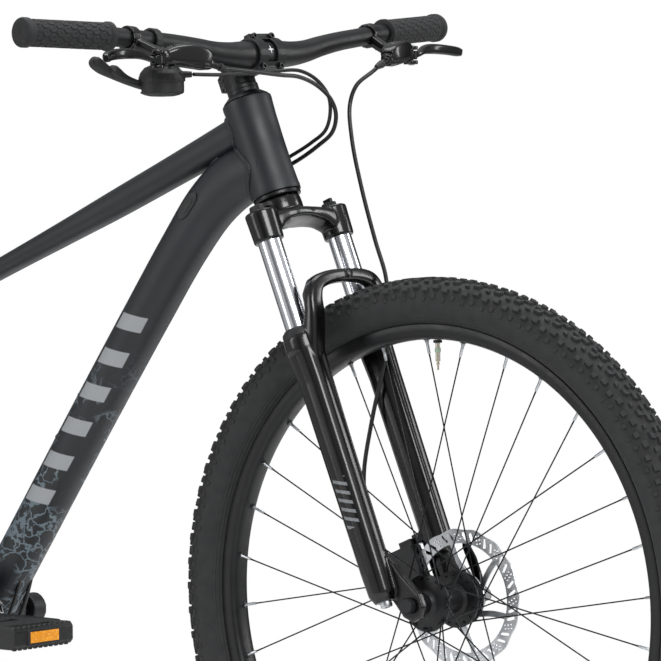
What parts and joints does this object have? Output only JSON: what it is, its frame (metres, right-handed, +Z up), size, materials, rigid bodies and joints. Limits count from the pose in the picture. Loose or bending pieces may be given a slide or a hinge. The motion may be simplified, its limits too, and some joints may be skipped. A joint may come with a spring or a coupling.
{
  "type": "mountain bike",
  "caption": "Hardtail mountain bike with a telescopic suspension fork, flat bar, hydraulic disc brakes, thumb shifter and rear derailleur.",
  "frame": {"origin": "on the ground, midway between the two wheels, at the bicycle's middle plane", "axes": "+X forward, +Y to the rider's left, +Z up"},
  "size_m": [1.888, 0.7572, 1.0411],
  "materials": {
    "frame_paint": "satin",
    "gloss_paint": "gloss",
    "hard_chrome": "polished",
    "black_alloy": "black anodised",
    "black_lever": "gloss black",
    "black_steel": "black oxide",
    "bright_steel": "brushed",
    "black_plastic": "moulded",
    "grip_rubber": "matt",
    "tyre_rubber": "matt",
    "hose_cover": "satin",
    "saddle_cover": "matt synthetic"
  },
  "bodies": {
    "frame": {"head_tube": "frame_paint", "top_tube": "frame_paint", "down_tube": "frame_paint", "seat_tube": "frame_paint", "chain_stay_left": "frame_paint", "chain_stay_right": "frame_paint", "seat_stay_left": "frame_paint", "seat_stay_right": "frame_paint", "chain": "bright_steel", "rear_brake_caliper": "black_alloy", "rear_brake_hose": "hose_cover", "shift_housing": "hose_cover", "derailleur_body": "black_alloy", "rear_axle": "black_alloy"},
    "seat": {"seat_post": "black_alloy", "saddle_rails": "bright_steel", "saddle": "saddle_cover"},
    "crank": {"crank_arm_right": "black_alloy", "crank_arm_left": "black_alloy", "chainring": "bright_steel"},
    "right_pedal": {"pedal_right": "black_plastic"},
    "left_pedal": {"pedal_left": "black_plastic"},
    "cassette": {"cassette": "bright_steel"},
    "rear_wheel": {"rear_rim": "black_alloy", "rear_tyre": "tyre_rubber", "rear_hub": "black_alloy", "rear_spokes_left": "black_steel", "rear_spokes_right": "black_steel", "rear_rotor": "bright_steel"},
    "derailleur_cage": {"derailleur_cage": "black_alloy"},
    "guide_pulley": {"guide_pulley": "black_plastic"},
    "tension_pulley": {"tension_pulley": "black_plastic"},
    "steering": {"fork_crown": "gloss_paint", "stanchion_left": "hard_chrome", "stanchion_right": "hard_chrome", "stem": "black_alloy", "stem_faceplate": "black_alloy", "handlebar": "black_alloy", "grip_left": "grip_rubber", "grip_right": "grip_rubber", "brake_body_left": "black_lever", "brake_body_right": "black_lever", "shifter_body": "black_plastic"},
    "left_brake_lever": {"brake_lever_left": "black_lever"},
    "right_brake_lever": {"brake_lever_right": "black_lever"},
    "thumb_lever": {"shift_thumb_lever": "black_plastic"},
    "trigger": {"shift_trigger": "black_plastic"},
    "preload_knob": {"preload_knob": "black_plastic"},
    "lockout_lever": {"lockout_lever": "black_plastic"},
    "fork_lowers": {"fork_lowers": "gloss_paint", "front_brake_caliper": "black_alloy", "front_axle": "black_alloy", "front_brake_hose": "hose_cover"},
    "front_wheel": {"front_rim": "black_alloy", "front_tyre": "tyre_rubber", "front_hub": "black_alloy", "front_spokes_left": "black_steel", "front_spokes_right": "black_steel", "front_rotor": "bright_steel"},
    "quick_release": {"front_qr_lever": "black_alloy"}
  },
  "joints": [
    {"name": "steer", "type": "hinge", "parent": "frame", "child": "steering", "pos_m": [0.52859, 0, 0.35279], "axis": [-0.3795, 0, 0.9252], "range_deg": [-60, 60], "deforming": ["rear_brake_hose", "shift_housing"]},
    {"name": "fork_travel", "type": "slide", "parent": "steering", "child": "fork_lowers", "axis": [-0.3795, 0, 0.9252], "range_m": [0, 0.1], "stiffness_N_per_m": 6000, "deforming": ["front_brake_hose"]},
    {"name": "front_wheel_spin", "type": "hinge", "parent": "fork_lowers", "child": "front_wheel", "pos_m": [0.573, 0, 0.371], "axis": [0, 1, 0], "continuous": true},
    {"name": "rear_wheel_spin", "type": "hinge", "parent": "frame", "child": "rear_wheel", "pos_m": [-0.573, 0, 0.371], "axis": [0, 1, 0], "continuous": true},
    {"name": "crank_spin", "type": "hinge", "parent": "frame", "child": "crank", "pos_m": [-0.132, 0, 0.313], "axis": [0, 1, 0], "continuous": true},
    {"name": "cassette_spin", "type": "hinge", "parent": "frame", "child": "cassette", "pos_m": [-0.573, 0, 0.371], "axis": [0, 1, 0], "continuous": true},
    {"name": "right_pedal_spin", "type": "hinge", "parent": "crank", "child": "right_pedal", "pos_m": [0.043, -0.144, 0.313], "axis": [0, 1, 0], "continuous": true},
    {"name": "left_pedal_spin", "type": "hinge", "parent": "crank", "child": "left_pedal", "pos_m": [-0.307, 0.144, 0.313], "axis": [0, 1, 0], "continuous": true},
    {"name": "cage_swing", "type": "hinge", "parent": "frame", "child": "derailleur_cage", "pos_m": [-0.56, -0.05045, 0.301], "axis": [0, 1, 0], "range_deg": [-25, 25], "stiffness_Nm_per_rad": 1.5, "deforming": ["chain"]},
    {"name": "guide_pulley_spin", "type": "hinge", "parent": "derailleur_cage", "child": "guide_pulley", "pos_m": [-0.56, -0.05045, 0.301], "axis": [0, 1, 0], "continuous": true},
    {"name": "tension_pulley_spin", "type": "hinge", "parent": "derailleur_cage", "child": "tension_pulley", "pos_m": [-0.532, -0.05045, 0.226], "axis": [0, 1, 0], "continuous": true},
    {"name": "seat_height", "type": "slide", "parent": "frame", "child": "seat", "axis": [-0.2924, 0, 0.9563], "range_m": [-0.09, 0.08]},
    {"name": "left_brake_pull", "type": "hinge", "parent": "steering", "child": "left_brake_lever", "pos_m": [0.351, 0.231, 0.992], "axis": [0, 0, 1], "range_deg": [0, 18], "stiffness_Nm_per_rad": 1},
    {"name": "right_brake_pull", "type": "hinge", "parent": "steering", "child": "right_brake_lever", "pos_m": [0.351, -0.231, 0.992], "axis": [0, 0, -1], "range_deg": [0, 18], "stiffness_Nm_per_rad": 1},
    {"name": "thumb_lever_push", "type": "hinge", "parent": "steering", "child": "thumb_lever", "pos_m": [0.303, -0.168, 0.9572], "axis": [0, 0, 1], "range_deg": [0, 12], "stiffness_Nm_per_rad": 0.5},
    {"name": "trigger_push", "type": "hinge", "parent": "steering", "child": "trigger", "pos_m": [0.303, -0.168, 0.9628], "axis": [0, 0, 1], "range_deg": [0, 12], "stiffness_Nm_per_rad": 0.5},
    {"name": "quick_release_flip", "type": "hinge", "parent": "fork_lowers", "child": "quick_release", "pos_m": [0.573, 0.0745, 0.371], "axis": [-0.944, 0, -0.33], "range_deg": [0, 170]},
    {"name": "preload_turn", "type": "hinge", "parent": "steering", "child": "preload_knob", "pos_m": [0.35871, 0.06375, 0.81813], "axis": [-0.3795, 0, 0.9252], "continuous": true},
    {"name": "lockout_turn", "type": "hinge", "parent": "steering", "child": "lockout_lever", "pos_m": [0.35871, -0.06375, 0.81813], "axis": [-0.3795, 0, 0.9252], "range_deg": [0, 80]}
  ],
  "couplings": [
    {"joint": "cassette_spin", "follows": "crank_spin", "ratio": 1.7778},
    {"joint": "guide_pulley_spin", "follows": "crank_spin", "ratio": -2.9091},
    {"joint": "tension_pulley_spin", "follows": "crank_spin", "ratio": 2.9091}
  ]
}
